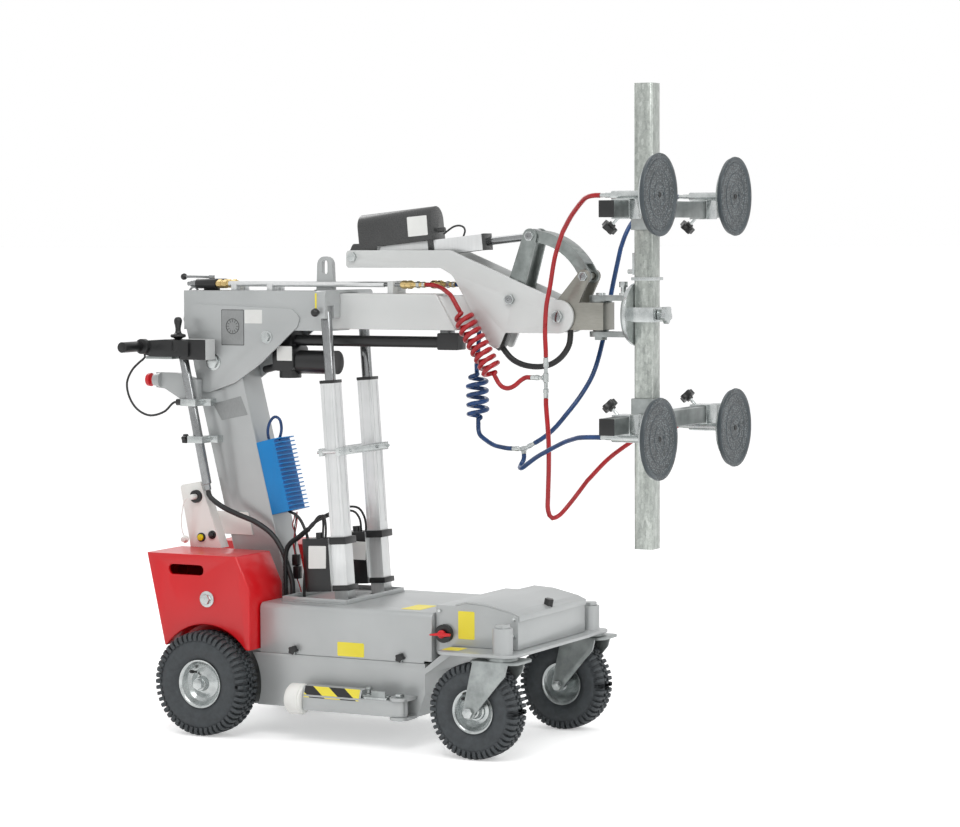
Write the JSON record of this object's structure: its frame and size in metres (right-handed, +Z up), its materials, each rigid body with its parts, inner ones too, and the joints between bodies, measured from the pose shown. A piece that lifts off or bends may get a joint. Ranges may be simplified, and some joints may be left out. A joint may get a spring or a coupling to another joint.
{
  "type": "glass panel lifter",
  "caption": "Wheeled counterbalance crane with a raked mast, telescopic boom, tilting and turning head, and suction pads on cross arms for lifting glass panels.",
  "frame": {"origin": "centre of the footprint of the solids without the hoses, on the floor", "axes": "+X forward to the suction pads, +Y to the machine's left, +Z up; the beam and boom mid-plane is Y = 0"},
  "size_m": [1.5941, 0.688, 1.657],
  "materials": {
    "grey_paint": "satin powder coat",
    "black_plastic": "matt",
    "zinc": "satin zinc plate",
    "red_paint": "semi-gloss",
    "white_panel": "satin",
    "blue_heatsink": "satin",
    "black_hose": "matt",
    "red_plastic": "gloss",
    "yellow_plastic": "gloss",
    "roller_plastic": "matt",
    "tyre_rubber": "matt",
    "bright_rod": "polished",
    "alloy": "satin",
    "red_hose": "gloss",
    "blue_hose": "gloss",
    "head_steel": "painted",
    "galvanised": "mottled galvanised",
    "pad_rubber": "matt"
  },
  "bodies": {
    "chassis": {"lower_frame": "grey_paint", "deck_cover": "grey_paint", "front_cover": "grey_paint", "caster_plate": "grey_paint", "battery_pack": "black_plastic", "drive_unit": "zinc", "mast": "grey_paint", "counterweights": "red_paint", "socket_panel": "white_panel", "charger": "blue_heatsink", "mast_brackets": "zinc", "chassis_fasteners": "zinc", "control_cables": "black_hose"},
    "lid": {"front_lid": "grey_paint"},
    "isolator": {"isolator_key": "red_plastic"},
    "stop_button": {"estop_button": "red_plastic"},
    "yellow_push": {"yellow_button": "yellow_plastic"},
    "black_push": {"black_button": "black_plastic"},
    "support_right": {"support_arm_right": "grey_paint"},
    "support_left": {"support_arm_left": "grey_paint"},
    "roller_right": {"arm_roller_right": "roller_plastic"},
    "roller_left": {"arm_roller_left": "roller_plastic"},
    "rear_wheel_right": {"rear_tyre_right": "tyre_rubber", "rear_rim_right": "zinc"},
    "rear_wheel_left": {"rear_tyre_left": "tyre_rubber", "rear_rim_left": "zinc"},
    "swivel_right": {"caster_fork_right": "zinc"},
    "swivel_left": {"caster_fork_left": "zinc"},
    "front_wheel_right": {"caster_wheel_right": "tyre_rubber"},
    "front_wheel_left": {"caster_wheel_left": "tyre_rubber"},
    "handle": {"handle_pole": "bright_rod", "control_head": "black_plastic"},
    "stick": {"joystick": "black_plastic"},
    "boom": {"outer_boom": "grey_paint", "lift_yoke": "grey_paint", "air_lines": "alloy", "extend_actuator": "black_plastic"},
    "air_valve": {"valve_lever": "bright_rod"},
    "jib": {"inner_boom": "grey_paint", "jib_plates": "grey_paint", "slide_rods": "bright_rod", "red_coil": "red_hose", "blue_coil": "blue_hose", "branch_hoses": "red_hose", "jib_hose": "black_hose"},
    "lift_cylinders": {"lift_actuators": "alloy"},
    "lift_plungers": {"lift_rods": "bright_rod"},
    "tilt_cylinder": {"tilt_actuator": "black_plastic"},
    "tilt_plunger": {"tilt_rod": "bright_rod"},
    "tilt_lever": {"tilt_levers": "zinc"},
    "link": {"tilt_link": "zinc"},
    "head": {"tilt_head": "head_steel"},
    "side_head": {"swing_yoke": "zinc"},
    "beam": {"beam_tube": "galvanised"},
    "upper_arm": {"cross_arm_upper": "galvanised"},
    "lower_arm": {"cross_arm_lower": "galvanised"},
    "upper_right_pad": {"pad_upper_right": "pad_rubber"},
    "upper_left_pad": {"pad_upper_left": "pad_rubber"},
    "lower_right_pad": {"pad_lower_right": "pad_rubber"},
    "lower_left_pad": {"pad_lower_left": "pad_rubber"}
  },
  "joints": [
    {"name": "rear_right_spin", "type": "hinge", "parent": "chassis", "child": "rear_wheel_right", "pos_m": [-0.4975, -0.248, 0.135], "axis": [0, 1, 0], "continuous": true},
    {"name": "rear_left_spin", "type": "hinge", "parent": "chassis", "child": "rear_wheel_left", "pos_m": [-0.4975, 0.248, 0.135], "axis": [0, 1, 0], "continuous": true},
    {"name": "swivel_right_turn", "type": "hinge", "parent": "chassis", "child": "swivel_right", "pos_m": [0.3645, -0.248, 0.25], "axis": [0, 0, 1], "continuous": true},
    {"name": "swivel_left_turn", "type": "hinge", "parent": "chassis", "child": "swivel_left", "pos_m": [0.3645, 0.248, 0.25], "axis": [0, 0, 1], "continuous": true},
    {"name": "front_right_spin", "type": "hinge", "parent": "swivel_right", "child": "front_wheel_right", "pos_m": [0.2955, -0.248, 0.12], "axis": [0, 1, 0], "continuous": true},
    {"name": "front_left_spin", "type": "hinge", "parent": "swivel_left", "child": "front_wheel_left", "pos_m": [0.2955, 0.248, 0.12], "axis": [0, 1, 0], "continuous": true},
    {"name": "boom_lift", "type": "hinge", "parent": "chassis", "child": "boom", "pos_m": [-0.5885, 0, 0.955], "axis": [0, -1, 0], "range_deg": [-10, 28]},
    {"name": "lift_cylinder_swing", "type": "hinge", "parent": "chassis", "child": "lift_cylinders", "pos_m": [-0.1655, 0, 0.3], "axis": [0, -1, 0], "range_deg": [-2.09, 5.33]},
    {"name": "lift_plunger_slide", "type": "slide", "parent": "lift_cylinders", "child": "lift_plungers", "axis": [-0.07, 0, 0.9975], "range_m": [-0.0644, 0.1786]},
    {"name": "boom_extend", "type": "slide", "parent": "boom", "child": "jib", "axis": [1, 0, 0], "range_m": [0, 0.3]},
    {"name": "valve_turn", "type": "hinge", "parent": "boom", "child": "air_valve", "pos_m": [-0.6285, 0, 1.18], "axis": [0, 0, 1], "range_deg": [0, 90]},
    {"name": "head_tilt", "type": "hinge", "parent": "jib", "child": "head", "pos_m": [0.4175, 0, 1.084], "axis": [0, -1, 0], "range_deg": [-10, 35], "deforming": ["branch_hoses", "jib_hose", "red_coil", "blue_coil"]},
    {"name": "lever_swing", "type": "hinge", "parent": "jib", "child": "tilt_lever", "pos_m": [0.2845, 0, 1.126], "axis": [0, -1, 0], "range_deg": [-8.5, 27.8]},
    {"name": "link_swing", "type": "hinge", "parent": "tilt_lever", "child": "link", "pos_m": [0.3335, 0, 1.284], "axis": [0, -1, 0], "range_deg": [-22, 6.8]},
    {"name": "tilt_cylinder_swing", "type": "hinge", "parent": "jib", "child": "tilt_cylinder", "pos_m": [-0.1695, 0, 1.232], "axis": [0, -1, 0], "range_deg": [-0.9, 2.6]},
    {"name": "tilt_plunger_slide", "type": "slide", "parent": "tilt_cylinder", "child": "tilt_plunger", "axis": [0.9947, 0, 0.1028], "range_m": [-0.0765, 0.0225]},
    {"name": "side_swing", "type": "hinge", "parent": "head", "child": "side_head", "pos_m": [0.5145, 0, 1.09], "axis": [0, 0, 1], "range_deg": [-35, 35]},
    {"name": "beam_rotation", "type": "hinge", "parent": "side_head", "child": "beam", "pos_m": [0.6155, 0, 1.09], "axis": [1, 0, 0], "continuous": true},
    {"name": "upper_arm_shift", "type": "slide", "parent": "beam", "child": "upper_arm", "axis": [0, 0, 1], "range_m": [-0.05, 0.2]},
    {"name": "lower_arm_shift", "type": "slide", "parent": "beam", "child": "lower_arm", "axis": [0, 0, 1], "range_m": [-0.2, 0.05]},
    {"name": "upper_right_pad_shift", "type": "slide", "parent": "upper_arm", "child": "upper_right_pad", "axis": [0, 1, 0], "range_m": [-0.07, 0.08]},
    {"name": "upper_left_pad_shift", "type": "slide", "parent": "upper_arm", "child": "upper_left_pad", "axis": [0, 1, 0], "range_m": [-0.08, 0.07]},
    {"name": "lower_right_pad_shift", "type": "slide", "parent": "lower_arm", "child": "lower_right_pad", "axis": [0, 1, 0], "range_m": [-0.07, 0.08]},
    {"name": "lower_left_pad_shift", "type": "slide", "parent": "lower_arm", "child": "lower_left_pad", "axis": [0, 1, 0], "range_m": [-0.08, 0.07]},
    {"name": "handle_height", "type": "slide", "parent": "chassis", "child": "handle", "axis": [-0.2045, 0, 0.9789], "range_m": [-0.03, 0.1], "deforming": ["control_cables"]},
    {"name": "stick_tilt", "type": "hinge", "parent": "handle", "child": "stick", "pos_m": [-0.6745, -0.095, 1.00915], "axis": [0, 1, 0], "range_deg": [-15, 15], "stiffness_Nm_per_rad": 0.3},
    {"name": "stop_push", "type": "slide", "parent": "chassis", "child": "stop_button", "axis": [1, 0, 0], "range_m": [0, 0.005], "stiffness_N_per_m": 800},
    {"name": "yellow_push_in", "type": "slide", "parent": "chassis", "child": "yellow_push", "axis": [0, 1, 0], "range_m": [0, 0.0025], "stiffness_N_per_m": 500},
    {"name": "black_push_in", "type": "slide", "parent": "chassis", "child": "black_push", "axis": [0, 1, 0], "range_m": [0, 0.0025], "stiffness_N_per_m": 500},
    {"name": "isolator_turn", "type": "hinge", "parent": "chassis", "child": "isolator", "pos_m": [0.1745, -0.2, 0.296], "axis": [0, 1, 0], "range_deg": [0, 90]},
    {"name": "support_right_swing", "type": "hinge", "parent": "chassis", "child": "support_right", "pos_m": [0.0765, -0.25, 0.108], "axis": [0, 0, 1], "range_deg": [0, 90]},
    {"name": "support_left_swing", "type": "hinge", "parent": "chassis", "child": "support_left", "pos_m": [0.0765, 0.25, 0.108], "axis": [0, 0, -1], "range_deg": [0, 90]},
    {"name": "roller_right_spin", "type": "hinge", "parent": "support_right", "child": "roller_right", "pos_m": [-0.2205, -0.25, 0.112], "axis": [1, 0, 0], "continuous": true},
    {"name": "roller_left_spin", "type": "hinge", "parent": "support_left", "child": "roller_left", "pos_m": [-0.2205, 0.25, 0.112], "axis": [1, 0, 0], "continuous": true},
    {"name": "lid_lift", "type": "hinge", "parent": "chassis", "child": "lid", "pos_m": [0.1995, 0, 0.369], "axis": [0, -1, 0], "range_deg": [0, 70]}
  ],
  "couplings": [
    {"joint": "lift_cylinder_swing", "follows": "boom_lift", "ratio": 0.1795},
    {"joint": "lift_plunger_slide", "follows": "boom_lift", "m_per_rad": 0.3635},
    {"joint": "lever_swing", "follows": "head_tilt", "ratio": 0.7729},
    {"joint": "link_swing", "follows": "head_tilt", "ratio": -0.6094},
    {"joint": "tilt_cylinder_swing", "follows": "head_tilt", "ratio": 0.0653},
    {"joint": "tilt_plunger_slide", "follows": "head_tilt", "m_per_rad": -0.12263}
  ]
}
